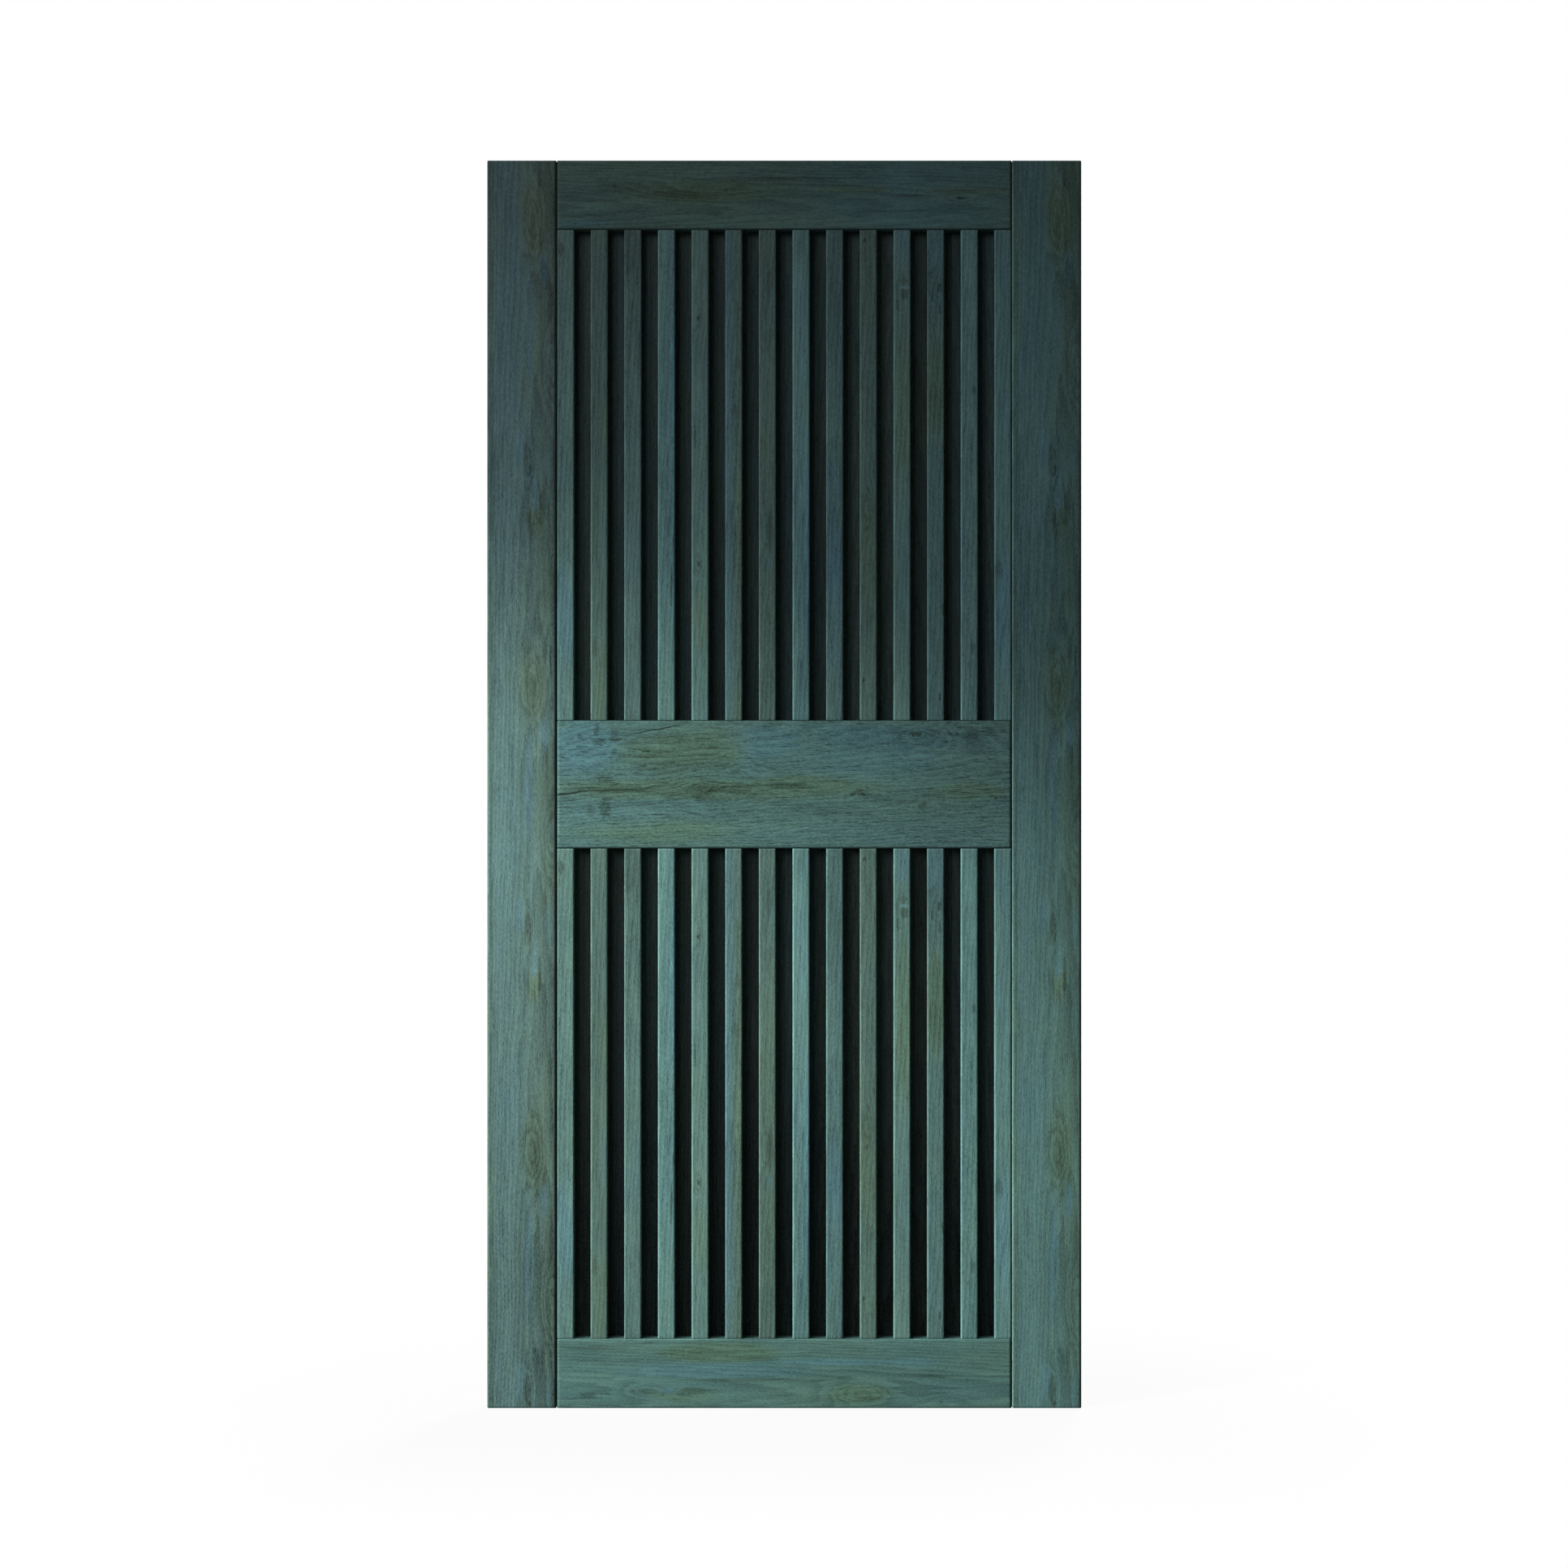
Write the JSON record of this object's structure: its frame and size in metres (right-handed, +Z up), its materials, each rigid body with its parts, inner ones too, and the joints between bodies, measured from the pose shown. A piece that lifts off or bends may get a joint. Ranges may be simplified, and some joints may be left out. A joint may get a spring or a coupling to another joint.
{
  "type": "sliding barn door",
  "caption": "Tall stained-wood sliding barn door: stiles and rails frame upper and lower fields of upright slats on recessed back panels, with a floor-guide groove along the bottom edge.",
  "frame": {"origin": "middle of the bottom edge: centred on the width and the thickness, at the lowest face", "axes": "+Z up the door's height, +X to the right seen from the front, +Y from the slatted front through the thickness to the back"},
  "size_m": [1.016, 0.035, 2.1336],
  "materials": {
    "frame_wood": "satin blue-green stain over open grain",
    "slat_wood": "satin blue-green stain over open grain",
    "panel_wood": "satin dark blue-green stain over open grain",
    "dowel_wood": "bare hardwood"
  },
  "bodies": {
    "root": {"joint_dowels": "dowel_wood", "upper_panel": "panel_wood", "lower_panel": "panel_wood", "left_stile": "frame_wood", "right_stile": "frame_wood", "top_rail": "frame_wood", "mid_rail": "frame_wood", "bottom_rail": "frame_wood", "upper_slat_01": "slat_wood", "upper_slat_02": "slat_wood", "upper_slat_03": "slat_wood", "upper_slat_04": "slat_wood", "upper_slat_05": "slat_wood", "upper_slat_06": "slat_wood", "upper_slat_07": "slat_wood", "upper_slat_08": "slat_wood", "upper_slat_09": "slat_wood", "upper_slat_10": "slat_wood", "upper_slat_11": "slat_wood", "upper_slat_12": "slat_wood", "upper_slat_13": "slat_wood", "upper_slat_14": "slat_wood", "lower_slat_01": "slat_wood", "lower_slat_02": "slat_wood", "lower_slat_03": "slat_wood", "lower_slat_04": "slat_wood", "lower_slat_05": "slat_wood", "lower_slat_06": "slat_wood", "lower_slat_07": "slat_wood", "lower_slat_08": "slat_wood", "lower_slat_09": "slat_wood", "lower_slat_10": "slat_wood", "lower_slat_11": "slat_wood", "lower_slat_12": "slat_wood", "lower_slat_13": "slat_wood", "lower_slat_14": "slat_wood"}
  },
  "joints": []
}
